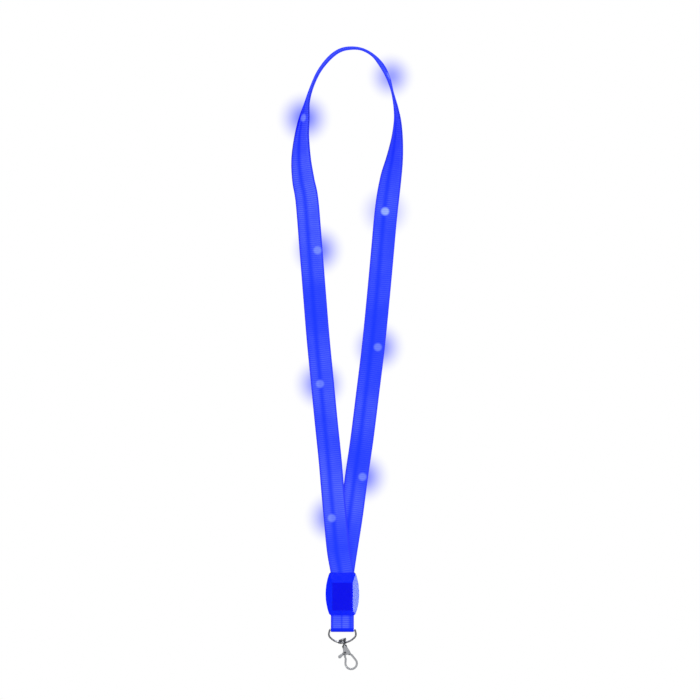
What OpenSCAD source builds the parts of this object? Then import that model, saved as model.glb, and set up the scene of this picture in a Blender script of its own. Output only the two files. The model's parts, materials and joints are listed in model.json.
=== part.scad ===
// Light-up neck lanyard: a hollow ribbon loop with a string of lamps inside it, a battery
// module where its two ends meet, a webbing tab, a half-moon ring and a swivelling claw.
// It hangs as it is worn: +Z is up and -Y faces the viewer. The origin is on the inner
// side of the loop's top, where the ribbon lies on the neck.

/* [Strap] */
// Width of the hollow ribbon
strap_w = 20; // [19.6:0.1:20]
// Thickness of the ribbon over its hollow
strap_t = 2.3; // [2.3:0.01:2.36]
// Width of the hollow
hollow_w = 16.4; // [15:0.1:16.6]
// Thickness of the hollow
hollow_t = 1.3; // [1.25:0.01:1.35]
// Diameter of one lamp wire
wire_d = 0.7; // [0.6:0.05:0.75]
// Length of one lamp along the ribbon
lamp_l = 2.6; // [2:0.1:2.8]
// Width of one lamp
lamp_w = 2; // [1.6:0.1:2.2]
// Thickness of one lamp
lamp_t = 0.8; // [0.6:0.05:0.85]

/* [Module] */
// Greatest width of the barrel-shaped case
case_w = 29.1; // [28.8:0.1:30]
// Height of the case
case_h = 36.8; // [36.6:0.1:37]
// Width of the case at its top and bottom ends
case_end_w = 22; // [21.6:0.1:22.4]
// Depth of the case in front of its parting plane, without the panel
case_front = 4.8; // [4.8:0.1:5.2]
// Depth of the case behind its parting plane
case_back = 8; // [8:0.05:8.1]
// Wall thickness of the case
wall = 1.3; // [1.25:0.01:1.35]
// Width of the raised front panel
panel_w = 17.3; // [15:0.1:18]
// Height of the raised front panel
panel_h = 24.2; // [20:0.1:25]
// How far the panel stands out
panel_rise = 0.3; // [0.2:0.05:0.6]

/* [Battery and button] */
// Diameter of one coin cell
cell_d = 20; // [19.9:0.02:20.02]
// Thickness of one coin cell
cell_t = 1.6; // [1.55:0.01:1.6]
// Diameter of the button cap
button_d = 4.8; // [4:0.1:4.9]
// How far the button cap stands out of the back
button_out = 0.6; // [0.5:0.05:1]

/* [Tab] */
// Width of the webbing tab
tab_w = 20; // [18:0.5:20]
// Thickness of one layer of the tab
tab_t = 1.1; // [1:0.05:1.2]
// From the case's lower edge down to the middle of the ring's bar
tab_drop = 12.6; // [12:0.1:13]

/* [Ring] */
// Diameter of the ring's wire
ring_wire = 1.6; // [1.5:0.05:1.7]
// Greatest width of the ring
ring_w = 25; // [24.9:0.1:25.4]
// Bar to bow, between the middles of the wire
ring_drop = 11.3; // [11.2:0.05:11.4]

/* [Claw] */
// Diameter of the stud's round head
head_d = 6.6; // [6.5:0.05:6.7]
// Diameter of the stud's post
post_d = 1.8; // [1.7:0.05:1.9]
// Lean of the claw to the right at rest
claw_lean = 18; // [0:1:19]
// Width of the claw's loop wire
loop_t = 1.7; // [1.5:0.05:1.8]
// Depth of the claw's loop wire
loop_d = 2.2; // [2:0.05:2.3]
// Diameter of the trigger's pin
pin_d = 1.2; // [1.1:0.05:1.3]

/* [Hidden] */
$fn = 48;
clear = 0.05; // radial clearance of every running fit
lamp_count = 8;

// Heights of the main stations
case_z = -470;
case_top = case_z + case_h / 2;
case_low = case_z - case_h / 2;
bar_z = case_low - tab_drop;
strap_end_z = case_z + 13.3;

// The ribbon's route, from its front end in the module, up the left side, over the
// neck and down the right side: x, y, z, turn of the face and where the lamps lie
// across the width. A turn of 90 shows the outer face to the viewer, 0 stands on edge.
route = [
    [-0.3, -1.3, strap_end_z, 90, 0], [-0.4, -1.3, -450, 90, 0], [-3.5, -1.3, -432, 90, -1.5],
    [-6.2, -1.3, -404, 90, -3], [-8.4, -1.3, -380, 90, -3], [-10.6, -1.2, -354, 90, -2.6],
    [-14, -0.8, -321, 90, -2.4], [-17.2, -0.4, -288, 90, -2.2], [-20.9, 0, -250, 90, 1.5],
    [-24, 0, -212, 90, 4.8], [-27.1, 0, -173, 89, 5.6], [-30.6, 0, -130, 85, 3.5],
    [-33.8, 0, -112, 74, 2], [-35.7, 0, -94, 58, 1], [-35.2, 0, -74, 39, 0.5],
    [-33, 0, -58, 27, 0], [-30.4, 0, -44, 12, 0], [-26.4, 0, -31, 7, 0],
    [-20.4, 0, -18, 8, 0], [-12, 0, -7, 10, 0], [-3, 0, 0, 10, 0], [6.6, 0, 2.4, 9, 0],
    [17, 0, 1.4, 6, 0], [26.6, 0, -3.9, 7, 0], [34, 0, -12.4, 12, 0], [39.1, 0, -22, 9, 0],
    [42.1, 0, -31, 4, 0], [44.6, 0, -41, -2, 0], [46.6, 0, -51, -9, 0], [47.7, 0, -62, -17, 0],
    [47.2, 0, -77, -29, 0], [45, 0, -94, -46, 0], [41.6, 0, -112, -67, -0.4],
    [37.9, 0, -139, -86, -0.9], [34.6, 0, -175, -90, 0.5], [31.2, 0, -212, -90, 2.4],
    [26.8, 0.2, -256, -90, 3.9], [21.8, 0.8, -297, -90, 4.6], [16.8, 1.2, -337, -90, 5],
    [12.3, 1.3, -368, -90, 5.2], [7.8, 1.3, -402, -90, 3], [3.1, 1.3, -432, -90, 0],
    [0.4, 1.3, -450, -90, 0], [0.3, 1.3, strap_end_z, -90, 0]
];
lamp_at = [3, 7, 10, 15, 25, 33, 36, 39]; // the route points that carry a lamp
wire_start = [[0, 0.9, -464, 90, 0], [0, 0.3, -460.5, 90, 0]];
steps = 2; // rings for each stretch of the route

// Case layout, measured from the case's middle
cell_z = -4.5;
cell_y = 3.25;
floor_y = 2.6;
floor_t = 0.6;
back_in = case_back - wall;
well_r = cell_d / 2 + 0.25;
well_out = 12;
door_r = 10.78;
door_y = 6.85;
lug_r = 11.5;
lug_t = 0.65;
lug_angle = 22;
door_open = 40;
board_y = 1.3;
board_t = 0.8;
button_z = 10.6;
flange_r = 2.9;
flange_y = back_in - 0.75;
screw_x = 10.4;
screw_z = 9.4;
seat_y = 4;
post_x = 6;
post_z = 15.6;
post_r = 1.1;
stand_x = 7;
stand_zs = [-10.5, 11];
tab_pin_z = -14.6;
tab_pin_r = 0.8;
side_depth = 3.5;
slot_h = 5.6;
panel_z = -2.1;
sag = (case_w - case_end_w) / 2;
side_r = (case_h * case_h / 4 + sag * sag) / (2 * sag);

// Ring outline: bar, small corners, round sides and a wide bow
ring_r = ring_wire / 2;
bar_half = 10.1;
corner_r = 1;
side_x = 7.5;
side_z = -3.9;
bend_r = ring_w / 2 - ring_r - side_x;
drop_q = ring_drop + side_z;
bow_r = (side_x * side_x + drop_q * drop_q - bend_r * bend_r) / (2 * (drop_q - bend_r));
bow_z = bow_r - ring_drop;
bow_end = atan2(side_z - bow_z, side_x);
corner_gap = [bar_half - side_x, -corner_r - side_z];
side_start = atan2(corner_gap[1], corner_gap[0]) - acos((bend_r - corner_r) / norm(corner_gap));

// Swivel and claw, measured from the middle of the stud's head, before the lean
head_r = head_d / 2;
head_z = bar_z - ring_drop + 2.6;
boss_r = 3.4;
boss_top = -1.75;
boss_low = -3.5;
post_r_swivel = post_d / 2;
collar_z = -4.7;
flange_top = -6.2;
flange_low = -7.2;
pivot = [-1.2, -11.2];
egg_x = 0.9;
egg_top = [-16.6, 3.9];
egg_low = [-21.8, 5.8];
part_r = 11.875;
slot_half = 1.35;
claw_half = 2.2;
hook_x = 0.9;

function unit(v) = v / norm(v);
function at(list, i) = list[min(max(i, 0), len(list) - 1)];
function blend(a, b, c, d, t) = 0.5 * (2 * b + (c - a) * t
    + (2 * a - 5 * b + 4 * c - d) * t * t + (3 * b - a - 3 * c + d) * t * t * t);
function smooth(p) = [for (i = [0:len(p) - 2], s = [0:steps - 1])
    blend(at(p, i - 1), p[i], p[i + 1], at(p, i + 2), s / steps), p[len(p) - 1]];
function place(p) = [p[0], p[1], p[2]];

// Frame of one ring of a sweep: middle, face direction, width direction, tangent
function frame(p, k) =
    let (t = unit(place(at(p, k + 1)) - place(at(p, k - 1))),
         out = unit([-t[2], 0, t[0]]),
         near = cross(t, out),
         turn = p[k][3],
         face = cos(turn) * out + sin(turn) * near,
         wide = -sin(turn) * out + cos(turn) * near)
    [place(p[k]) + wide * p[k][4], face, wide, t, place(p[k])];

function ring_points(f, middle, shape) = [for (s = shape) middle + f[1] * s[0] + f[2] * s[1]];
function side_faces(rings, n, first, flip) = [for (k = [0:rings - 2], i = [0:n - 1])
    let (a = first + k * n + i, b = first + k * n + (i + 1) % n)
    each flip ? [[a, b, b + n], [a, b + n, a + n]] : [[a, b + n, b], [a, a + n, b + n]]];

// Solid sweep of a round section, moved across the width by shift
module round_sweep(path, r, sides, shift) {
    rings = len(path);
    shape = [for (i = [0:sides - 1]) [r * cos(i * 360 / sides), r * sin(i * 360 / sides)]];
    points = [for (k = [0:rings - 1])
        let (f = frame(path, k)) each ring_points(f, f[0] + f[2] * shift, shape)];
    last = (rings - 1) * sides;
    polyhedron(points, concat(side_faces(rings, sides, 0, false),
        [for (i = [1:sides - 2]) [0, i, i + 1]],
        [for (i = [1:sides - 2]) [last, last + i + 1, last + i]]));
}

// Hollow sweep: outer and inner sections have the same number of points
module hollow_sweep(path, outer, inner) {
    rings = len(path);
    n = len(outer);
    total = rings * n;
    points = concat(
        [for (k = [0:rings - 1]) let (f = frame(path, k)) each ring_points(f, f[4], outer)],
        [for (k = [0:rings - 1]) let (f = frame(path, k)) each ring_points(f, f[4], inner)]);
    last = total - n;
    polyhedron(points, concat(
        side_faces(rings, n, 0, false),
        side_faces(rings, n, total, true),
        [for (i = [0:n - 1]) let (j = (i + 1) % n)
            each [[i, j, total + j], [i, total + j, total + i]]],
        [for (i = [0:n - 1]) let (j = (i + 1) % n)
            each [[last + i, total + last + j, last + j],
                  [last + i, total + last + i, total + last + j]]]));
}

// Ten-sided flat section: half thickness over the hollow, half width, edge half thickness
function flat_section(h, w, e, ease) = [
    [h, 0], [h * 0.93, w - ease], [e, w], [-e, w], [-h * 0.93, w - ease],
    [-h, 0], [-h * 0.93, ease - w], [-e, -w], [e, -w], [h * 0.93, ease - w]];

// A flat shape drawn in x and z, standing between two depths
module slab(y0, y1) {
    translate([0, y1, 0]) rotate([90, 0, 0]) linear_extrude(y1 - y0) children();
}
module rod_y(r, y0, y1) {
    translate([0, y1, 0]) rotate([90, 0, 0]) cylinder(r = r, h = y1 - y0);
}
module rod_x(r, half) {
    rotate([0, 90, 0]) cylinder(r = r, h = 2 * half, center = true);
}

function case_half(z) = case_w / 2 - side_r + sqrt(side_r * side_r - z * z);

// The barrel outline, drawn in by inset, with its four corners cut
module case_outline(inset, corner = 1) {
    top = case_h / 2 - inset;
    zs = [for (i = [-12:12]) i * (top - corner) / 12];
    polygon(concat(
        [for (z = zs) [case_half(z) - inset, z]],
        [[case_half(top) - inset - corner, top], [inset + corner - case_half(top), top]],
        [for (i = [len(zs) - 1:-1:0]) [inset - case_half(zs[i]), zs[i]]],
        [[inset + corner - case_half(top), -top], [case_half(top) - inset - corner, -top]]));
}
module panel_shape(inset) {
    translate([0, panel_z]) square([panel_w - 2 * inset, panel_h - 2 * inset], center = true);
}
module at_case() {
    translate([0, 0, case_z]) children();
}
module both_sides(x) {
    for (side = [-1, 1]) translate([side * x, 0, 0]) children();
}
module anchor_holes(r, y0, y1) {
    translate([0, 0, post_z]) both_sides(post_x) rod_y(r, y0, y1);
}

module strap_sleeve() {
    half = strap_w / 2;
    color("royalblue") difference() {
        hollow_sweep(smooth(route), flat_section(strap_t / 2, half, 0.5, 1.2),
            flat_section(hollow_t / 2, hollow_w / 2, 0.2, 0.9));
        at_case() anchor_holes(post_r + clear, -3, 3);
    }
}

wire_path = smooth(concat(wire_start, [for (i = [0:39]) route[i]]));
module lamp_wire(side) {
    round_sweep(wire_path, wire_d / 2, 6, side * (lamp_w / 2 + wire_d / 2 + 0.15));
}
module wire_positive() {
    color("firebrick") lamp_wire(1);
}
module wire_negative() {
    color("dimgray") lamp_wire(-1);
}
module lamp(i) {
    f = frame(smooth(route), lamp_at[i] * steps);
    color("aliceblue") multmatrix([
        [f[1][0], f[2][0], f[3][0], f[0][0]],
        [f[1][1], f[2][1], f[3][1], f[0][1]],
        [f[1][2], f[2][2], f[3][2], f[0][2]]]) cube([lamp_t, lamp_w, lamp_l], center = true);
}

module front_cover() {
    inner_y = wall - case_front;
    color("blue") at_case() difference() {
        union() {
            difference() {
                union() {
                    hull() {
                        slab(-side_depth, 0) case_outline(0);
                        slab(-case_front, -case_front + 0.1) panel_shape(-0.5);
                    }
                    slab(-case_front - panel_rise, -case_front + 0.05) panel_shape(0);
                }
                hull() {
                    slab(wall - side_depth, 1) case_outline(wall);
                    slab(inner_y, inner_y + 0.1) panel_shape(1);
                }
            }
            translate([0, 0, screw_z]) both_sides(screw_x) rod_y(1.9, inner_y + 0.6, 0);
            anchor_holes(post_r, inner_y + 0.3, 0);
            for (z = stand_zs) translate([0, 0, z]) both_sides(stand_x) rod_y(0.8, inner_y - 0.3, board_y);
            for (side = [-1, 1]) translate([side * 11.8, 0.8, -8]) cube([1.1, 2, 4], center = true);
            translate([0, -0.9, -8]) both_sides(12.3) cube([1.6, 1.8, 4], center = true);
        }
        translate([0, -0.2, case_h / 2]) cube([strap_w + 1, 5, slot_h], center = true);
        translate([0, 0, -case_h / 2]) cube([tab_w + 0.5, 2 * tab_t + 0.3, slot_h], center = true);
        translate([0, 0, screw_z]) both_sides(screw_x) rod_y(0.8, inner_y + 1.1, 1);
        translate([0, 0, tab_pin_z]) rod_x(tab_pin_r + 0.02, 11.2);
    }
}

module back_cover() {
    color("mediumblue") at_case() difference() {
        union() {
            difference() {
                hull() {
                    slab(0, back_in) case_outline(0);
                    slab(case_back - 0.1, case_back) case_outline(1.4);
                }
                slab(-1, back_in) case_outline(wall);
            }
            translate([0, 0, cell_z]) rod_y(well_out, floor_y, back_in + 0.1);
            translate([0, 0, screw_z]) both_sides(screw_x) rod_y(1.9, 0, back_in + 0.1);
            anchor_holes(post_r, 0, back_in + 0.1);
            translate([0, 0, stand_zs[0]]) both_sides(stand_x) rod_y(0.8, board_y + board_t, floor_y + 0.1);
            translate([0, 0, stand_zs[1]]) both_sides(stand_x) rod_y(0.8, board_y + board_t, back_in + 0.1);
        }
        translate([0, 0, cell_z]) {
            rod_y(well_r, floor_y + floor_t, case_back + 1);
            rod_y(door_r + 0.1, door_y - 0.05, case_back + 1);
            rod_y(lug_r + 0.15, door_y - 0.05, door_y + lug_t + 0.1);
            lugs(lug_r + 0.1, lug_angle + 6, door_y, case_back + 1, door_open);
            translate([-0.4, floor_y + 0.2, 0]) cube([9, 1.6, 3.6], center = true);
            translate([-10.6, 4.2, 0]) cube([1.6, 3.6, 3.6], center = true);
        }
        translate([0, 0, button_z]) rod_y(button_d / 2 + 0.1, back_in - 1, case_back + 1);
        translate([0, 0, screw_z]) both_sides(screw_x) {
            rod_y(0.8 + clear, -1, case_back);
            rod_y(1.6, seat_y, case_back + 1);
        }
        translate([0, 0, case_h / 2]) cube([strap_w + 1, 5, slot_h], center = true);
        translate([0, 0, -case_h / 2]) cube([tab_w + 0.5, 2 * tab_t + 0.3, slot_h], center = true);
        translate([0, 0, tab_pin_z]) rod_x(tab_pin_r + 0.02, 11.2);
    }
}

// Three lugs about the door's axis, turned by start
module lugs(r, wide, y0, y1, start) {
    for (i = [0:2]) {
        translate([0, y1, 0]) rotate([90, 0, 0]) rotate([0, 0, 90 + start + i * 120 - wide / 2])
            rotate_extrude(angle = wide) translate([8, 0]) square([r - 8, y1 - y0]);
    }
}
module battery_door() {
    color("mediumblue") at_case() translate([0, 0, cell_z]) difference() {
        union() {
            rod_y(door_r, door_y, case_back);
            lugs(lug_r, lug_angle, door_y, door_y + lug_t, 0);
            rod_y(3, cell_y + 2 * cell_t + 0.05, door_y);
        }
        translate([0, case_back, 0]) cube([13, 1.4, 1.8], center = true);
    }
}
module case_screws() {
    color("silver") at_case() translate([0, 0, screw_z]) both_sides(screw_x) difference() {
        union() {
            rod_y(0.75, -2.2, seat_y + 0.1);
            rod_y(1.45, seat_y, seat_y + 1);
        }
        translate([0, seat_y + 1, 0]) cube([2, 1, 0.4], center = true);
        translate([0, seat_y + 1, 0]) cube([0.4, 1, 2], center = true);
    }
}
module button_cap() {
    color("white") at_case() translate([0, 0, button_z]) {
        rod_y(button_d / 2, flange_y + 0.1, case_back + button_out);
        rod_y(flange_r, flange_y, flange_y + 0.7);
        rod_y(1.2, 4.3, flange_y + 0.1);
    }
}
module switch_plunger() {
    color("black") at_case() translate([0, 0, button_z]) rod_y(1, 3.3, 4.3);
}
module switch_body() {
    board_back = board_y + board_t;
    color("dimgray") at_case() translate([0, 0, button_z]) difference() {
        translate([0, board_back + 0.75, 0]) cube([4, 1.5, 4], center = true);
        rod_y(1 + clear, board_back + 0.6, board_back + 2);
    }
}
module circuit_board() {
    color("green") at_case() slab(board_y, board_y + board_t) translate([0, 0.2]) square([16.4, 24.8], center = true);
}
module driver_chip() {
    color("black") at_case() translate([0, board_y - 0.6, -1]) {
        cube([4, 1.2, 5], center = true);
        for (side = [-1, 1], i = [-1.5:1.5]) translate([side * 2.5, 0.475, i * 1.2]) cube([1, 0.25, 0.5], center = true);
    }
}
module resistors() {
    color("saddlebrown") at_case() for (z = [-7, 4, 6]) translate([4.6, board_y - 0.3, z]) cube([0.9, 0.6, 1.7], center = true);
}
// One coin cell: its can and the smaller raised face in front
module cell(y) {
    color("silver") at_case() translate([0, 0, cell_z]) {
        rod_y(cell_d / 2, y + 0.25, y + cell_t);
        rod_y(cell_d / 2 - 1.2, y, y + 0.25);
    }
}
module battery_front() {
    cell(cell_y);
}
module battery_rear() {
    cell(cell_y + cell_t);
}
module contact(points) {
    color("goldenrod") at_case() translate([0, 0, cell_z - 1.5]) linear_extrude(3) polygon(points);
}
module contact_negative() {
    contact([[-4, 2.1], [-1, 2.1], [3.2, 2.97], [3.2, 3.22], [-1.1, 2.35], [-4, 2.35]]);
}
module contact_positive() {
    contact([[-6.5, 2.1], [-10.95, 2.1], [-10.3, 5.7], [-10.05, 5.7], [-10.68, 2.35], [-6.5, 2.35]]);
}

module tab_webbing() {
    fold_r = ring_r + 0.2 + tab_t;
    pin_r = tab_pin_r + tab_t;
    top = case_z + tab_pin_z;
    color("royalblue") difference() {
        translate([-tab_w / 2, 0, 0]) rotate([90, 0, 90]) linear_extrude(tab_w) {
            hull() {
                translate([0, bar_z]) circle(fold_r);
                translate([0, bar_z + 4]) square([2 * tab_t, 1], center = true);
            }
            translate([-tab_t, bar_z + 4]) square([2 * tab_t, top - bar_z - 6]);
            hull() {
                translate([0, top]) circle(pin_r);
                translate([0, top - 2]) square([2 * tab_t, 1], center = true);
            }
        }
        translate([0, 0, bar_z]) rod_x(ring_r + 0.2, tab_w);
        translate([0, 0, top]) rod_x(tab_pin_r, tab_w);
    }
}
module tab_pin() {
    color("silver") at_case() translate([0, 0, tab_pin_z]) rod_x(tab_pin_r, 11);
}

function arc(x, z, r, a0, a1, first, n) = [for (i = [first:n])
    let (a = a0 + (a1 - a0) * i / n) [x + r * cos(a), z + r * sin(a)]];

// Middle line of the ring's wire, from inside the bar's right end to the foot of the bow
ring_half = concat([[bar_half - 0.5, 0]],
    arc(bar_half, -corner_r, corner_r, 90, side_start, 0, 5),
    arc(side_x, side_z, bend_r, side_start, bow_end, 0, 7),
    arc(0, bow_z, bow_r, bow_end, -90, 1, 9));
ring_line = concat(ring_half, [for (i = [len(ring_half) - 2:-1:0]) [-ring_half[i][0], ring_half[i][1]]]);

module d_ring() {
    color("silver") difference() {
        union() {
            translate([0, 0, bar_z]) rod_x(ring_r, bar_half);
            round_sweep([for (p = ring_line) [p[0], 0, bar_z + p[1], 0, 0]], ring_r - 0.01, 12, 0);
            translate([0, 0, head_z + boss_low]) cylinder(r = boss_r, h = boss_top - boss_low);
        }
        translate([0, 0, head_z]) sphere(r = head_r + clear);
        translate([0, 0, head_z + boss_low - 1]) cylinder(r = 2.35, h = 3);
    }
}

// The swivel's own frame: from the head's middle, leaning with the claw
module at_head() {
    translate([0, 0, head_z]) rotate([0, -claw_lean, 0]) children();
}
module swivel_stud() {
    color("silver") at_head() {
        difference() {
            sphere(r = head_r);
            translate([0, 0, 5.8]) cube(10, center = true);
        }
        translate([0, 0, flange_low]) cylinder(r = post_r_swivel, h = -flange_low);
        translate([0, 0, flange_low]) cylinder(r = 1.5, h = flange_top - flange_low);
    }
}
module egg(inset) {
    hull() {
        translate([egg_x, egg_top[0]]) circle(egg_top[1] - inset);
        translate([egg_x, egg_low[0]]) circle(egg_low[1] - inset);
    }
}
module egg_ring() {
    slab(-loop_d / 2, loop_d / 2) difference() {
        egg(0);
        egg(loop_t);
    }
}
module at_pivot() {
    translate([pivot[0], 0, pivot[1]]) children();
}
module claw_body() {
    color("silver") at_head() difference() {
        union() {
            translate([0, 0, -9]) cylinder(r = 2.1, h = 9 + collar_z - 0.7);
            translate([0, 0, collar_z - 0.7]) cylinder(r1 = 2.1, r2 = 1.5, h = 0.7);
            slab(-claw_half, claw_half) hull() {
                translate([0, -8.2]) circle(2.1);
                translate([-0.2, -11]) circle(2.5);
                translate([1.7, -12.4]) circle(1.6);
            }
            egg_ring();
        }
        translate([0, 0, -20]) cylinder(r = post_r_swivel + clear, h = 30);
        translate([0, 0, -9.5]) cylinder(r = 1.6, h = 9.5 + flange_top + clear);
        at_pivot() rod_y(2.1, -slot_half, slot_half);
        translate([hook_x - 10, -slot_half, pivot[1] - 5.5]) cube([10, 2 * slot_half, 5.5]);
        intersection() {
            at_pivot() rod_y(part_r + 0.075, -slot_half, slot_half);
            translate([hook_x - 20, -slot_half, -40]) cube([20, 2 * slot_half, 40 + pivot[1]]);
        }
        at_pivot() rod_y(pin_d / 2, -5, 5);
    }
}
module trigger() {
    color("gainsboro") at_head() difference() {
        union() {
            at_pivot() rod_y(1.9, -1.25, 1.1);
            intersection() {
                egg_ring();
                at_pivot() rod_y(part_r - 0.075, -3, 3);
                translate([-21.6, -5, -40]) cube([20, 10, 40 + pivot[1]]);
            }
            slab(-loop_d / 2, loop_d / 2) hull() {
                translate([-1.9, -12]) circle(1.1);
                translate([-2.4, -15]) circle(0.85);
            }
            slab(-loop_d / 2, loop_d / 2) hull() {
                translate([-2, -11.4]) circle(1);
                translate([-5.2, -12.7]) circle(0.9);
            }
            slab(-1.7, 1.7) hull() {
                translate([-4.9, -12.6]) circle(1.1);
                translate([-6.7, -13.3]) circle(1.35);
            }
        }
        at_pivot() rod_y(pin_d / 2 + clear, -5, 5);
        at_pivot() rod_y(1.5, 0.3, 2);
    }
}
module trigger_pin() {
    color("silver") at_head() at_pivot() {
        rod_y(pin_d / 2, -claw_half, claw_half);
        rod_y(0.9, -claw_half - 0.25, -claw_half);
        rod_y(0.9, claw_half, claw_half + 0.25);
    }
}
// Three turns of fine wire about the trigger's pin
module trigger_spring() {
    coil = [for (i = [0:36]) [cos(i * 30), 0.5 + i * 0.65 / 36, sin(i * 30)]];
    sides = 6;
    r = 0.1;
    points = [for (c = coil, j = [0:sides - 1]) let (a = j * 360 / sides)
        [c[0] * (1.05 + r * cos(a)), c[1] + r * sin(a), c[2] * (1.05 + r * cos(a))]];
    last = 36 * sides;
    color("gray") at_head() at_pivot() polyhedron(points, concat(side_faces(37, sides, 0, true),
        [for (i = [1:sides - 2]) [0, i + 1, i]],
        [for (i = [1:sides - 2]) [last, last + i, last + i + 1]]));
}

strap_sleeve();
wire_positive();
wire_negative();
for (i = [0:lamp_count - 1]) {
    lamp(i);
}
front_cover();
back_cover();
battery_door();
case_screws();
button_cap();
switch_plunger();
switch_body();
circuit_board();
driver_chip();
resistors();
battery_front();
battery_rear();
contact_negative();
contact_positive();
tab_webbing();
tab_pin();
d_ring();
swivel_stud();
claw_body();
trigger();
trigger_pin();
trigger_spring();
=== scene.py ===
"""Looks of a light-up neck lanyard: a hollow ribbon with lamps inside, a battery module,
a webbing tab, a half-moon ring and a swivelling claw hook."""

import json
import math

import bmesh
import bpy
from mathutils import Matrix, Vector


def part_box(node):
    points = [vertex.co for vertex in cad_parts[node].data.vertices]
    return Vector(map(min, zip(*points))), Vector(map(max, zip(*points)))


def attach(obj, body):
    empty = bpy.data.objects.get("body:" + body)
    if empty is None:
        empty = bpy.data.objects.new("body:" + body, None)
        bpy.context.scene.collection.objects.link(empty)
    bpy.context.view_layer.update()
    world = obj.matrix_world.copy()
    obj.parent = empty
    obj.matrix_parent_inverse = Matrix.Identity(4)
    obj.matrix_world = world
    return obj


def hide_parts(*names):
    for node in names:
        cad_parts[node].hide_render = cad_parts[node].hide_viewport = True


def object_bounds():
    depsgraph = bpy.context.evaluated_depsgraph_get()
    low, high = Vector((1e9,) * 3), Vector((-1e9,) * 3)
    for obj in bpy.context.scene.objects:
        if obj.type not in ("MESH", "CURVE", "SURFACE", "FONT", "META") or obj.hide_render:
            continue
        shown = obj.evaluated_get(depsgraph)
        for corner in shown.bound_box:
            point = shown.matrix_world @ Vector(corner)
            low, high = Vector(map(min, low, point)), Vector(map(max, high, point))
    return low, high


MM = 0.001
MM_PER_M = 1000
FULL_TURN = 2 * math.pi
WHITE = (1, 1, 1, 1)

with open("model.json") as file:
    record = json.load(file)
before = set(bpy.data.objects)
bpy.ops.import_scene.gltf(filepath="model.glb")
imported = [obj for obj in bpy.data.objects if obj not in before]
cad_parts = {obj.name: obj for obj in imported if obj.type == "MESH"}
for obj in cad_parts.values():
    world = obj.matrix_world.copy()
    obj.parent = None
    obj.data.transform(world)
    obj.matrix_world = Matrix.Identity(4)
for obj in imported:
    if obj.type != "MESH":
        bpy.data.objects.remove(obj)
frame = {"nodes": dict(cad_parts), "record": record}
cad_low, cad_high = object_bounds()
nodes = frame["nodes"]
scene = bpy.context.scene


# ---------------------------------------------------------------- camera

VIEW_CENTRE = Vector((0.0066, 0, -0.2589))
VIEW_WIDTH = 0.606
VIEW_LIMIT = 20
LENS = 200
SENSOR = 36

camera = bpy.data.objects.new("camera", bpy.data.cameras.new("camera"))
scene.collection.objects.link(camera)
camera.data.lens = LENS
camera.data.sensor_width = SENSOR
camera.data.clip_end = VIEW_LIMIT
camera.location = VIEW_CENTRE - Vector((0, VIEW_WIDTH * LENS / SENSOR, 0))
camera.rotation_euler = (math.pi / 2, 0, 0)
scene.camera = camera


# ---------------------------------------------------------------- mesh helpers

WELD_MM = 0.001
FLAT = math.radians(0.5)  # faces this near to one plane are joined before edges are rounded


def new_object(name, mesh):
    piece = bpy.data.objects.new(name, mesh)
    scene.collection.objects.link(piece)
    return piece


def applied(piece):
    """Swaps the piece's mesh for the one that its modifiers make."""
    bpy.context.view_layer.update()
    graph = bpy.context.evaluated_depsgraph_get()
    mesh = bpy.data.meshes.new_from_object(piece.evaluated_get(graph))
    piece.modifiers.clear()
    piece.data = mesh
    return piece


def wear(piece, material):
    piece.data.materials.clear()
    piece.data.materials.append(material)


def in_millimetres(name, node):
    """A new object with the CAD node's surface, welded and in millimetres."""
    bm = bmesh.new()
    bm.from_mesh(nodes[node].data)
    bmesh.ops.scale(bm, vec=(MM_PER_M,) * 3, verts=bm.verts)
    bmesh.ops.remove_doubles(bm, verts=bm.verts, dist=WELD_MM)
    mesh = bpy.data.meshes.new(name)
    bm.to_mesh(mesh)
    bm.free()
    return new_object(name, mesh)


def put_in_place(piece, node, body, material):
    """Back to metres, with its material, for the CAD node and on its body."""
    for v in piece.data.vertices:
        v.co *= MM
    wear(piece, material)
    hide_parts(node)
    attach(piece, body)
    return piece


def softened(name, node, body, material, width, segments=3, sharp=28):
    """A moulded piece: the CAD node's shape with its edges rounded, where they turn by more
    than sharp degrees."""
    piece = in_millimetres(name, node)
    bm = bmesh.new()
    bm.from_mesh(piece.data)
    bmesh.ops.dissolve_limit(bm, angle_limit=FLAT, verts=bm.verts, edges=bm.edges)
    bm.to_mesh(piece.data)
    bm.free()
    bevel = piece.modifiers.new("round", "BEVEL")
    bevel.limit_method = "ANGLE"
    bevel.angle_limit = math.radians(sharp)
    bevel.width = width
    bevel.segments = segments
    bevel.use_clamp_overlap = True
    applied(piece)
    piece.data.shade_smooth()
    even = piece.modifiers.new("even", "WEIGHTED_NORMAL")
    even.keep_sharp = False
    even.weight = 100
    applied(piece)
    return put_in_place(piece, node, body, material)


def cast(name, node, body, material, voxel=0.12, rounds=5):
    """A cast metal piece: the CAD node's shape with melted edges and filled corners."""
    piece = in_millimetres(name, node)
    remesh = piece.modifiers.new("cast", "REMESH")
    remesh.mode = "VOXEL"
    remesh.voxel_size = voxel
    smooth = piece.modifiers.new("melt", "SMOOTH")
    smooth.factor = 0.5
    smooth.iterations = rounds
    applied(piece)
    piece.data.shade_smooth()
    return put_in_place(piece, node, body, material)


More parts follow.
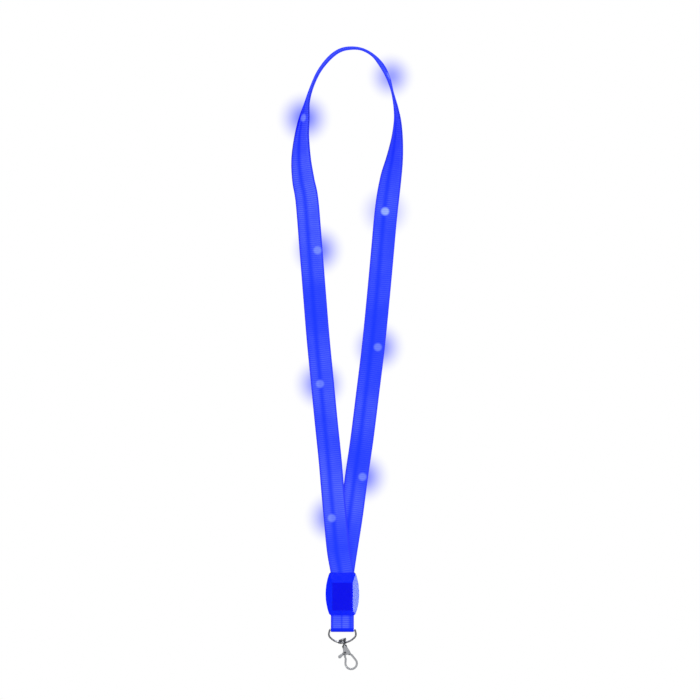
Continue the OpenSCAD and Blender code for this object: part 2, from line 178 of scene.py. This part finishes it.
def sweep(name, rings, stations, widths):
    """A closed sweep through rings of points, with flat ends. Each corner keeps its place in
    the weave as an attribute: its distance across the cloth and its length along it."""
    count = len(rings[0])
    mesh = bpy.data.meshes.new(name)
    faces = []
    for near in range(0, (len(rings) - 1) * count, count):
        far = near + count
        for i in range(count):
            j = (i + 1) % count
            faces.append((near + i, near + j, far + j, far + i))
    last = (len(rings) - 1) * count
    faces.append(tuple(reversed(range(count))))
    faces.append(tuple(last + i for i in range(count)))
    mesh.from_pydata([p for ring in rings for p in ring], [], faces)
    mesh.validate()
    weave = mesh.attributes.new("weave", "FLOAT_VECTOR", "POINT")
    for k, station in enumerate(stations):
        for i, width in enumerate(widths):
            weave.data[k * count + i].vector = (width, station, 0)
    bm = bmesh.new()
    bm.from_mesh(mesh)
    bmesh.ops.recalc_face_normals(bm, faces=bm.faces)
    bm.to_mesh(mesh)
    bm.free()
    mesh.shade_smooth()
    return new_object(name, mesh)


def disc(name, radius, segments, upright=False):
    """A flat round card, lying down or facing along Y."""
    bm = bmesh.new()
    bmesh.ops.create_circle(bm, cap_ends=True, segments=segments, radius=radius)
    if upright:
        bmesh.ops.rotate(bm, matrix=Matrix.Rotation(math.pi / 2, 3, "X"), verts=bm.verts)
    mesh = bpy.data.meshes.new(name)
    bm.to_mesh(mesh)
    bm.free()
    return new_object(name, mesh)


def lengths(points):
    """How far along the line each of its points is."""
    total = [0.0]
    for a, b in zip(points, points[1:]):
        total.append(total[-1] + (b - a).length)
    return total


def heading(points, k):
    """Which way a line of points runs at its point k."""
    return (points[min(k + 1, len(points) - 1)] - points[max(k - 1, 0)]).normalized()


# ---------------------------------------------------------------- material helpers

NOISE_LOW, NOISE_HIGH = 0.3, 0.7  # a noise texture seldom leaves this range
CLOUD_SCALE = 90.0
SHINIER, DULLER = 0.85, 1.2  # how far the polish strays from its middle
GRAIN_BUMP = 0.25


def feed(tree, socket, value):
    """Sets an input socket to a value, or links another node's output to it."""
    if isinstance(value, bpy.types.NodeSocket):
        tree.links.new(value, socket)
    else:
        socket.default_value = value


def add(tree, kind, inputs=None, **settings):
    """A shader node. An input is a value, or another node's output socket."""
    node = tree.nodes.new("ShaderNode" + kind)
    for key, value in settings.items():
        setattr(node, key, value)
    for key, value in (inputs or {}).items():
        feed(tree, node.inputs[key], value)
    return node


def maths(tree, operation, a, b=0.0):
    return add(tree, "Math", {0: a, 1: b}, operation=operation).outputs[0]


def gap_to(tree, value, centre):
    return maths(tree, "ABSOLUTE", maths(tree, "SUBTRACT", value, centre))


def ramp(tree, value, low, high, to_low=0.0, to_high=1.0):
    limits = {
        "Value": value,
        "From Min": low,
        "From Max": high,
        "To Min": to_low,
        "To Max": to_high,
    }
    return add(tree, "MapRange", limits, interpolation_type="SMOOTHSTEP").outputs[0]


def mix(tree, factor, a, b):
    return add(tree, "Mix", {0: factor, 6: a, 7: b}, data_type="RGBA").outputs[2]


def noise(tree, where, scale, detail=3.0):
    return add(tree, "TexNoise", {"Vector": where, "Scale": scale, "Detail": detail}).outputs[0]


def shade(colour, factor):
    return tuple(min(1.0, c * factor) for c in colour[:3]) + (1.0,)


def blank(name):
    material = bpy.data.materials.new(name)
    material.use_nodes = True
    tree = material.node_tree
    shader = tree.nodes["Principled BSDF"]
    place = add(tree, "TexCoord").outputs["Object"]
    return material, tree, shader, place


def dress(tree, shader, looks):
    for key, value in looks.items():
        feed(tree, shader.inputs[key], value)


def bump(tree, height, strength, distance):
    inputs = {"Height": height, "Strength": strength, "Distance": distance}
    return add(tree, "Bump", inputs).outputs[0]


def solid(
    name,
    colour,
    rough,
    metal=0.0,
    vary=0.06,
    grain=900.0,
    depth=0.00002,
    gloss=0.5,
    stretch=(1, 1, 1),
):
    """A moulded, plated or machined surface: slow colour change, uneven polish, fine grain."""
    material, tree, shader, place = blank(name)
    where = add(tree, "Mapping", {"Vector": place, "Scale": stretch}).outputs[0]
    cloudy = noise(tree, where, CLOUD_SCALE)
    fine = noise(tree, where, grain, 5.0)
    looks = {
        "Base Color": mix(tree, cloudy, shade(colour, 1 - vary), shade(colour, 1 + vary)),
        "Roughness": ramp(tree, fine, NOISE_LOW, NOISE_HIGH, rough * SHINIER, rough * DULLER),
        "Metallic": metal,
        "Specular IOR Level": gloss,
        "Normal": bump(tree, fine, GRAIN_BUMP, depth),
    }
    dress(tree, shader, looks)
    return material


# ---------------------------------------------------------------- cloth

DEEP_BLUE = (0.005, 0.021, 0.90, 1)
LIGHT_BLUE = (0.062, 0.092, 0.98, 1)
EDGE_BLUE = (0.017, 0.028, 0.52, 1)
SHEEN_BLUE = (0.1, 0.15, 1, 1)
GLOW_BLUE = (0.13, 0.17, 0.75, 1)
# Painted shade where the cloth turns round a fold
FOLD_SHADE_BLUE = shade(DEEP_BLUE, 0.6)

RIB = 0.00177  # one cross rib of the weave, along the cloth
THREAD = 0.0005  # one warp thread, across it
THREAD_HEIGHT = 0.15  # of a rib's height
WEAVE_DEPTH = 0.0001
WANDER_SCALE = 55.0
WANDER = 1.6  # how far, in radians, the ribs stray from even steps
PATCH_SCALE = 11.0
# How much of the lighter tone shows, where least and where most: on the ribs and threads it is
# painted highlight on their crests, with painted shade between them; in the patches it is the
# cloth's own uneven tone
RIB_HIGHLIGHT = (0.4, 1.0)
THREAD_HIGHLIGHT = (0.65, 1.1)
PATCH_LIGHT = (0.25, 1.0)
GROUND_LIGHT = 0.35  # between the ribs, as a share of the patches
FOLD_SHADE_CORE = 0.6  # the share of a fold's reach where its painted shade is wholly dark
EDGE_DARK_OUT, EDGE_DARK_IN = 0.001, 0.0016  # the darker edge fades in over these
SPOT_CORE, SPOT_REACH = 0.0022, 0.0046
SPOT_STRETCH = (1, 0.6, 1)  # the weave spreads light along its threads, so spots are deeper


def lamp_spots(tree, place, lamps):
    """The light of each lamp, a place and a strength, as a soft round spot in the weave."""
    total = None
    for lamp, strength in lamps:
        offset = add(tree, "VectorMath", {0: place, 1: lamp}, operation="SUBTRACT")
        inputs = {0: offset.outputs[0], 1: SPOT_STRETCH}
        spread = add(tree, "VectorMath", inputs, operation="MULTIPLY").outputs[0]
        distance = add(tree, "VectorMath", {0: spread}, operation="LENGTH").outputs["Value"]
        spot = ramp(tree, distance, SPOT_CORE, SPOT_REACH, strength, 0.0)
        total = spot if total is None else maths(tree, "ADD", total, spot)
    return total


def cloth(name, half_width, lanes, fold_shades=(), lamps=()):
    """Ribbed ribbon: cross ribs and fine warp threads, painted lighter on their crests and darker
    between them as painted highlight and painted shade, and darker towards each edge. Each lane,
    a place across the cloth, a reach and a strength, is of the deeper tone; on the ribbon it is
    the painted shadow of the wires inside. Each fold shade, a place along the cloth and a reach,
    is a band of painted shade where the cloth turns round. Lamps show through as soft spots."""
    material, tree, shader, place = blank(name)
    weave = add(tree, "Attribute", attribute_name="weave").outputs["Vector"]
    parts = add(tree, "SeparateXYZ", {0: weave})
    across, along = parts.outputs[0], parts.outputs[1]
    wander = noise(tree, place, WANDER_SCALE)
    patchy = ramp(tree, noise(tree, place, PATCH_SCALE, 1.0), 0.35, 0.65, *PATCH_LIGHT)

    steps = maths(tree, "MULTIPLY", along, FULL_TURN / RIB)
    stray = maths(tree, "MULTIPLY", wander, WANDER)
    ribs = maths(tree, "SINE", maths(tree, "ADD", steps, stray))
    warp = maths(tree, "SINE", maths(tree, "MULTIPLY", across, FULL_TURN / THREAD))
    terms = {0: warp, 1: THREAD_HEIGHT, 2: ribs}
    height = add(tree, "Math", terms, operation="MULTIPLY_ADD").outputs[0]

    # Painted highlight on the crests of the ribs and threads, and painted shade between them
    clear = ramp(tree, wander, 0.3, 0.65, *RIB_HIGHLIGHT)
    rib_highlight = maths(tree, "MULTIPLY", ramp(tree, ribs, -1.0, 1.0), clear)
    rib_highlight = maths(tree, "MULTIPLY", rib_highlight, ramp(tree, warp, -1.0, 1.0, *THREAD_HIGHLIGHT))
    tone = mix(tree, maths(tree, "MULTIPLY", rib_highlight, patchy), DEEP_BLUE, LIGHT_BLUE)
    tone = mix(tree, maths(tree, "MULTIPLY", patchy, GROUND_LIGHT), tone, LIGHT_BLUE)
    # Each lane darkens the cloth to the deeper tone; the ribbon's lane is the painted shadow of
    # the wires inside it
    for centre, reach, strength in lanes:
        near = ramp(tree, gap_to(tree, across, centre), 0.0, reach, strength, 0.0)
        tone = mix(tree, near, tone, DEEP_BLUE)
    outer = maths(tree, "ABSOLUTE", across)
    edge = ramp(tree, outer, half_width - EDGE_DARK_IN, half_width - EDGE_DARK_OUT)
    tone = mix(tree, edge, tone, EDGE_BLUE)
    # Each fold band is painted shade where the cloth turns round
    for centre, reach in fold_shades:
        near = ramp(tree, gap_to(tree, along, centre), reach * FOLD_SHADE_CORE, reach, 1.0, 0.0)
        tone = mix(tree, near, tone, FOLD_SHADE_BLUE)

    looks = {
        "Base Color": tone,
        "Roughness": ramp(tree, wander, NOISE_LOW, NOISE_HIGH, 0.65, 0.8),
        "Sheen Weight": 0.03,
        "Sheen Roughness": 0.4,
        "Sheen Tint": SHEEN_BLUE,
        "Specular IOR Level": 0.06,
        "Normal": bump(tree, height, 0.35, WEAVE_DEPTH),
    }
    if lamps:
        thread = ramp(tree, ribs, -1.0, 1.0, 0.85, 1.0)
        glow = lamp_spots(tree, place, lamps)
        looks["Emission Strength"] = maths(tree, "MULTIPLY", glow, thread)
        looks["Emission Color"] = GLOW_BLUE
    dress(tree, shader, looks)
    return material


# ---------------------------------------------------------------- ribbon

# The ribbon's route, as in the CAD part: x, y, z in millimetres, and the face's turn
ROUTE = [
    (-0.3, -1.3, -456.7, 90), (-0.4, -1.3, -450, 90), (-3.5, -1.3, -432, 90),
    (-6.2, -1.3, -404, 90), (-8.4, -1.3, -380, 90), (-10.6, -1.2, -354, 90),
    (-14, -0.8, -321, 90), (-17.2, -0.4, -288, 90), (-20.9, 0, -250, 90), (-24, 0, -212, 90),
    (-27.1, 0, -173, 89), (-30.6, 0, -130, 85), (-33.8, 0, -112, 74), (-35.7, 0, -94, 58),
    (-35.2, 0, -74, 39), (-33, 0, -58, 27), (-30.4, 0, -44, 12), (-26.4, 0, -31, 7),
    (-20.4, 0, -18, 8), (-12, 0, -7, 10), (-3, 0, 0, 10), (6.6, 0, 2.4, 9), (17, 0, 1.4, 6),
    (26.6, 0, -3.9, 7), (34, 0, -12.4, 12), (39.1, 0, -22, 9), (42.1, 0, -31, 4),
    (44.6, 0, -41, -2), (46.6, 0, -51, -9), (47.7, 0, -62, -17), (47.2, 0, -77, -29),
    (45, 0, -94, -46), (41.6, 0, -112, -67), (37.9, 0, -139, -86), (34.6, 0, -175, -90),
    (31.2, 0, -212, -90), (26.8, 0.2, -256, -90), (21.8, 0.8, -297, -90), (16.8, 1.2, -337, -90),
    (12.3, 1.3, -368, -90), (7.8, 1.3, -402, -90), (3.1, 1.3, -432, -90), (0.4, 1.3, -450, -90),
    (0.3, 1.3, -456.7, -90),
]
STEPS = 8
RIBBON_HALF = 0.010
# Half of the ribbon's section: distance from the middle and half thickness, in millimetres
HALF_SECTION = [
    (0, 1.14), (1.3, 1.14), (2.6, 1.13), (3.9, 1.12), (5.2, 1.09), (6.4, 1.04), (7.3, 0.97),
    (8.0, 0.83), (8.5, 0.62), (8.9, 0.5), (9.5, 0.48), (9.9, 0.42), (10.0, 0.25),
]
# Painted shadow of the wires inside the ribbon: a lengthwise lane of the deeper tone
WIRE_SHADOW_LANE = (-0.0016, 0.0036, 0.8)
LAMP_COUNT = 8
LAMP_GLOW = [1] * LAMP_COUNT  # how brightly each lamp shows through the weave
LAMP_GLOW[5] = 2.3


def blended(a, b, c, d, t):
    """The point at t from b to c on a smooth curve through all four."""
    return [
        0.5 * (
            2 * q
            + (r - p) * t
            + (2 * p - 5 * q + 4 * r - s) * t * t
            + (3 * q - p - 3 * r + s) * t**3
        )
        for p, q, r, s in zip(a, b, c, d)
    ]


def smooth_route():
    top = len(ROUTE) - 1
    rows = [
        blended(ROUTE[max(i - 1, 0)], ROUTE[i], ROUTE[i + 1], ROUTE[min(i + 2, top)], s / STEPS)
        for i in range(top)
        for s in range(STEPS)
    ]
    rows.append(list(ROUTE[-1]))
    return [Vector(r[:3]) * MM for r in rows], [math.radians(r[3]) for r in rows]


def whole_section():
    """The section's points round the ribbon: (width, face), in metres."""
    right = [(w * MM, h * MM) for w, h in HALF_SECTION]
    upper = [(-w, h) for w, h in reversed(right[1:])] + right
    return upper + [(w, -h) for w, h in reversed(upper)]


def ribbon_rings(points, turns, section):
    rings = []
    for k, (point, turn) in enumerate(zip(points, turns)):
        along = heading(points, k)
        out = Vector((-along.z, 0, along.x)).normalized()
        near = along.cross(out)
        face = math.cos(turn) * out + math.sin(turn) * near
        wide = -math.sin(turn) * out + math.cos(turn) * near
        rings.append([point + wide * w + face * h for w, h in section])
    return rings


def middle(node):
    low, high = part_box(node)
    return (low + high) / 2


lamp_places = [middle(f"lamp_{i + 1}") for i in range(LAMP_COUNT)]
lamps = list(zip(lamp_places, LAMP_GLOW))
ribbon_cloth = cloth("ribbon_weave", RIBBON_HALF, [WIRE_SHADOW_LANE], lamps=lamps)
route_points, route_turns = smooth_route()
section = whole_section()
ribbon = sweep(
    "ribbon_loop",
    ribbon_rings(route_points, route_turns, section),
    lengths(route_points),
    [w for w, _ in section],
)
wear(ribbon, ribbon_cloth)
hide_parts("strap_sleeve")
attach(ribbon, "root")


# ---------------------------------------------------------------- webbing tab

TAB_THICK = 0.00095
TAB_HALF = 0.00996
TAB_TOP = -0.4865
LAYER_Y = 0.00055
LAYER_STEPS = 12
BAR_Z = -0.501
FOLD_R = 0.00155
FOLD_REACH = 0.0034  # the two layers begin to part this far above the ring's bar
FOLD_START = math.radians(12)
FOLD_STEPS = 24
# Half of the tab's section, as shares of half its width and half its thickness
HALF_TAB = [
    (-1, 0), (-0.99, 0.8), (-0.95, 1), (-0.5, 1), (0, 1), (0.5, 1), (0.95, 1), (0.99, 0.8),
]
TAB_LANES = [(-0.0006, 0.0014, 0.7), (0.0072, 0.003, 0.8), (-0.0085, 0.0012, 0.7)]
# Painted shade where the tab turns round the ring's bar
TAB_FOLD_SHADE = (0.0171, 0.0048)


def tab_path():
    """Down the front layer, round the ring's bar and up the back layer: points in y and z."""
    run = BAR_Z + FOLD_REACH - TAB_TOP
    front = [
        Vector((0, -LAYER_Y, TAB_TOP + run * i / LAYER_STEPS)) for i in range(LAYER_STEPS + 1)
    ]
    fold = []
    for i in range(FOLD_STEPS + 1):
        angle = -FOLD_START + (math.pi + 2 * FOLD_START) * i / FOLD_STEPS
        fold.append(Vector((0, -FOLD_R * math.cos(angle), BAR_Z - FOLD_R * math.sin(angle))))
    back = [Vector((0, -p.y, p.z)) for p in reversed(front)]
    return front + fold + back


def tab_rings(points, section):
    rings = []
    for k, point in enumerate(points):
        face = heading(points, k).cross(Vector((1, 0, 0)))
        rings.append([point + Vector((w, 0, 0)) + face * h for w, h in section])
    return rings


tab_cloth = cloth("tab_weave", TAB_HALF, TAB_LANES, fold_shades=[TAB_FOLD_SHADE])
tab_points = tab_path()
tab_section = [
    (side * w * TAB_HALF, side * h * TAB_THICK / 2) for side in (1, -1) for w, h in HALF_TAB
]
tab = sweep(
    "webbing_tab",
    tab_rings(tab_points, tab_section),
    lengths(tab_points),
    [w for w, _ in tab_section],
)
wear(tab, tab_cloth)
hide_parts("tab_webbing")
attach(tab, "root")


# ---------------------------------------------------------------- module

PANEL_HALF = (0.00845, 0.0119)
# Painted shade on the panel's front face, darker than the case's wings
PANEL_SHADE_BLUE = (0, 0.001, 0.48, 1)
PANEL_SIDE = (-0.0001, 0.0002)  # the painted shade fades out over these, at the panel's edges
PANEL_DEPTH = (0.0002, 0.0004)  # and over these, behind the panel's face
WING_SHARP = 10  # low enough for the edges of the case's wings to be rounded too


def panel_shade(material):
    """Paints the face of the case's raised label panel darker than the wings around it: painted
    shade, for the light that the wings catch and the panel's face does not.
    """
    tree = material.node_tree
    shader = tree.nodes["Principled BSDF"]
    tone = shader.inputs["Base Color"].links[0].from_socket
    place = add(tree, "TexCoord").outputs["Object"]
    across, depth, up = add(tree, "SeparateXYZ", {0: place}).outputs
    mounts = frame["record"]["mounts"]
    x, y, z = next(m for m in mounts if m["name"] == "label_panel")["pos_m"]
    inside = ramp(tree, depth, y + PANEL_DEPTH[0], y + PANEL_DEPTH[1], 1.0, 0.0)
    for value, centre, half in ((across, x, PANEL_HALF[0]), (up, z, PANEL_HALF[1])):
        gap = gap_to(tree, value, centre)
        near = ramp(tree, gap, half + PANEL_SIDE[0], half + PANEL_SIDE[1], 1.0, 0.0)
        inside = maths(tree, "MULTIPLY", inside, near)
    feed(tree, shader.inputs["Base Color"], mix(tree, inside, tone, PANEL_SHADE_BLUE))


case = solid("case_plastic", (0.0, 0.008, 0.6), 0.11, vary=0.05, depth=0.000002)
panel_shade(case)
lid = solid("door_plastic", (0.0, 0.005, 0.62), 0.24, vary=0.03, depth=0.000004, gloss=0.4)
button = solid("button_plastic", (0.8, 0.82, 0.88), 0.4, vary=0.03)
black_plastic = solid("black_plastic", (0.02, 0.02, 0.022), 0.45, vary=0.2)
steel = solid("steel", (0.5, 0.5, 0.52), 0.32, metal=1.0, stretch=(1, 1, 6))

module = [
    softened("module_front", "front_cover", "root", case, 0.3, sharp=WING_SHARP),
    softened("module_back", "back_cover", "root", case, 0.3, sharp=WING_SHARP),
    softened("battery_lid", "battery_door", "door", lid, 0.18),
]
softened("mode_button", "button_cap", "button", button, 0.3, segments=4)
softened("cover_screws", "case_screws", "root", steel, 0.1)


# ---------------------------------------------------------------- ring, swivel and claw

nickel = solid("nickel", (0.6, 0.615, 0.65), 0.26, metal=1.0, grain=1400.0, depth=0.000004)

metal = [
    cast("half_moon_ring", "d_ring", "ring", nickel, voxel=0.13, rounds=6),
    cast("ball_stud", "swivel_stud", "swivel", nickel, rounds=4),
    cast("claw_hook", "claw_body", "claw", nickel),
    cast("thumb_trigger", "trigger", "trigger", nickel),
]


# ---------------------------------------------------------------- what stays as the CAD has it

TRACK_SCALE = 420.0
BOARD_CLOUDS = 500.0
LAMP_CLOUDS = 700.0


def circuit(name):
    """Green solder mask over copper tracks on a grid."""
    material, tree, shader, place = blank(name)
    inputs = {"Vector": place, "Scale": TRACK_SCALE, "Mortar Size": 0.05}
    cells = add(tree, "TexBrick", inputs).outputs["Fac"]
    cloudy = noise(tree, place, BOARD_CLOUDS)
    mask = mix(tree, cloudy, (0.01, 0.12, 0.04, 1), (0.015, 0.2, 0.07, 1))
    looks = {
        "Base Color": mix(tree, cells, mask, (0.04, 0.32, 0.12, 1)),
        "Roughness": ramp(tree, cloudy, NOISE_LOW, NOISE_HIGH, 0.3, 0.45),
        "Normal": bump(tree, cells, 0.3, 0.00003),
    }
    dress(tree, shader, looks)
    return material


def lit(name):
    """A lamp's clear body, which glows unevenly."""
    material, tree, shader, place = blank(name)
    cloudy = noise(tree, place, LAMP_CLOUDS)
    looks = {
        "Base Color": mix(tree, cloudy, (0.7, 0.8, 0.95, 1), (0.85, 0.92, 1, 1)),
        "Roughness": 0.15,
        "Emission Strength": ramp(tree, cloudy, NOISE_LOW, NOISE_HIGH, 1.2, 1.8),
        "Emission Color": (0.55, 0.75, 1, 1),
    }
    dress(tree, shader, looks)
    return material


cell_steel = solid("cell_steel", (0.62, 0.62, 0.64), 0.28, metal=1.0, stretch=(1, 8, 1))
brass = solid("contact_brass", (0.72, 0.55, 0.25), 0.25, metal=1.0)
lamp_body = lit("lamp")
kept = {
    "wire_positive": solid("wire_red", (0.5, 0.03, 0.03), 0.4),
    "wire_negative": solid("wire_black", (0.03, 0.03, 0.035), 0.4, vary=0.2),
    "switch_plunger": black_plastic,
    "switch_body": black_plastic,
    "circuit_board": circuit("board"),
    "driver_chip": black_plastic,
    "resistors": solid("ceramic", (0.12, 0.07, 0.05), 0.5, vary=0.25),
    "battery_front": cell_steel,
    "battery_rear": cell_steel,
    "contact_negative": brass,
    "contact_positive": brass,
    "tab_pin": steel,
    "trigger_pin": steel,
    "trigger_spring": steel,
}
for i in range(LAMP_COUNT):
    kept[f"lamp_{i + 1}"] = lamp_body
for node, material in kept.items():
    mesh = nodes[node].data
    if mesh.materials:
        for slot in nodes[node].material_slots:
            slot.material = material
    else:
        mesh.materials.append(material)


# ---------------------------------------------------------------- floor and sky

FLOOR_DROP = 0.45
FLOOR_R = 4.4
SKY_FILL = 0.34  # the sky is white to the camera, but gives less light than that
SKY_SHINE = 0.1  # and still less in reflections

world = bpy.data.worlds.new("studio")
scene.world = world
world.use_nodes = True
sky = world.node_tree.nodes["Background"]
rays = add(world.node_tree, "LightPath").outputs
fill = ramp(world.node_tree, rays["Is Glossy Ray"], 0.0, 1.0, SKY_FILL, SKY_SHINE)
shown = maths(world.node_tree, "MAXIMUM", rays["Is Camera Ray"], fill)
dress(world.node_tree, sky, {"Strength": shown, "Color": WHITE})
scene.view_settings.view_transform = "Standard"

floor = disc("floor", FLOOR_R, segments=96)
floor.location = (0, 0, cad_low.z - FLOOR_DROP)
floor.visible_glossy = False
paper = solid("floor_paper", (0.94, 0.94, 0.95), 0.85, vary=0.01, grain=300.0)
floor.data.materials.append(paper)


# ---------------------------------------------------------------- lights

LIT_CENTRE = Vector((0, 0, -0.42))
NEAR, FAR = 1.9, 2.2  # how far away the soft boxes stand
PLAIN = (1, 1, 1)
SUN_POWER, SUN_ANGLE = 2.15, 0.5


def group(name, pieces):
    collection = bpy.data.collections.new(name)
    for piece in pieces:
        collection.objects.link(piece)
    return collection


def new_light(name, kind, receivers):
    """A light that shines on the receivers alone."""
    light = bpy.data.objects.new(name, bpy.data.lights.new(name, kind))
    scene.collection.objects.link(light)
    light.light_linking.receiver_collection = receivers
    return light


def soft_box(name, toward, distance, size, power, receivers, fills, shines, tint=PLAIN):
    """A box that faces the lit centre from that direction. It fills with soft light, shines
    as a reflection, or does both, and is never seen itself."""
    box = new_light(name, "AREA", receivers)
    box.data.shape = "RECTANGLE"
    box.data.size, box.data.size_y = size
    box.data.energy = power
    box.data.color = tint
    toward = Vector(toward).normalized()
    box.location = LIT_CENTRE + toward * distance
    box.rotation_euler = toward.to_track_quat("Z", "Y").to_euler()
    box.visible_camera = False
    box.visible_diffuse = fills
    box.visible_glossy = shines


lit_pieces = group("lit_pieces", [p for p in scene.objects if p.type == "MESH" and p is not floor])
module_only = group("module_only", module)
metal_only = group("metal_only", metal)
floor_only = group("floor_only", [floor])

# A sun overhead lights the floor evenly, and soft boxes light the object
overhead = new_light("overhead", "SUN", floor_only)
overhead.data.energy = SUN_POWER
overhead.data.angle = SUN_ANGLE
# Each box: name, direction, distance, size, power, what it lights, whether it fills with soft
# light, whether it shines as a reflection, and a tint
SOFT_BOXES = [
    ("key", (0.485, -0.88, 0.02), NEAR, (0.75, 1.5), 46, lit_pieces, True, False),
    ("sheet", (0.5, -0.866, -0.08), NEAR, (1.3, 1.65), 46, module_only, False, True, (0.8, 1, 1)),
    ("front", (0.05, -1, 0.12), NEAR, (1.5, 1.5), 4.2, metal_only, False, True),
    ("behind", (-0.05, 1, 0.12), NEAR, (1.5, 1.5), 4.2, metal_only, False, True),
    ("top", (0.1, -0.3, 1), FAR, (1.2, 1.2), 30, lit_pieces, True, True),
    ("brow", (0.0, -0.93, 0.36), NEAR, (0.8, 0.3), 1.2, lit_pieces, True, True),
    ("left", (-0.9, -0.42, 0.1), FAR, (0.8, 1.4), 16, lit_pieces, True, False),
    ("glint", (-0.9, -0.42, 0.1), FAR, (0.8, 1.4), 16, metal_only, False, True),
    ("rear", (-0.5, 0.9, 0.35), FAR, (0.8, 1.2), 28, lit_pieces, True, False),
    ("far_rim", (-0.5, 0.9, 0.35), FAR, (0.8, 1.2), 1.2, module_only, False, True),
]
for box in SOFT_BOXES:
    soft_box(*box)


# ---------------------------------------------------------------- halos

# The soft tint of each lamp's light round the ribbon: its strength, reach and drift sideways
HALOS = [(1, 0.0258, 0)] * LAMP_COUNT
HALOS[4] = (0.8, 0.0225, 0.0028)
HALOS[5] = (0.6, 0.0258, 0)
HALO_BLUE = (0.16, 0.2, 1, 1)
HALO_BACK = 0.004


def halo_material(name, strength, reach):
    """Clear, but for a soft round blue tint that fades out to its rim."""
    material = bpy.data.materials.new(name)
    material.use_nodes = True
    tree = material.node_tree
    tree.nodes.clear()
    place = add(tree, "TexCoord").outputs["Object"]
    away = add(tree, "VectorMath", {0: place}, operation="LENGTH").outputs["Value"]
    tint = mix(tree, ramp(tree, away, 0.0, reach, strength, 0.0), WHITE, HALO_BLUE)
    clear = add(tree, "BsdfTransparent", {"Color": tint})
    add(tree, "OutputMaterial", {"Surface": clear.outputs[0]})
    return material


for number, (place, (strength, reach, drift)) in enumerate(zip(lamp_places, HALOS), 1):
    halo = disc(f"halo_{number}", reach, segments=48, upright=True)
    halo.location = (place.x + drift, HALO_BACK, place.z)
    halo.data.materials.append(halo_material(f"halo_{number}", strength, reach))
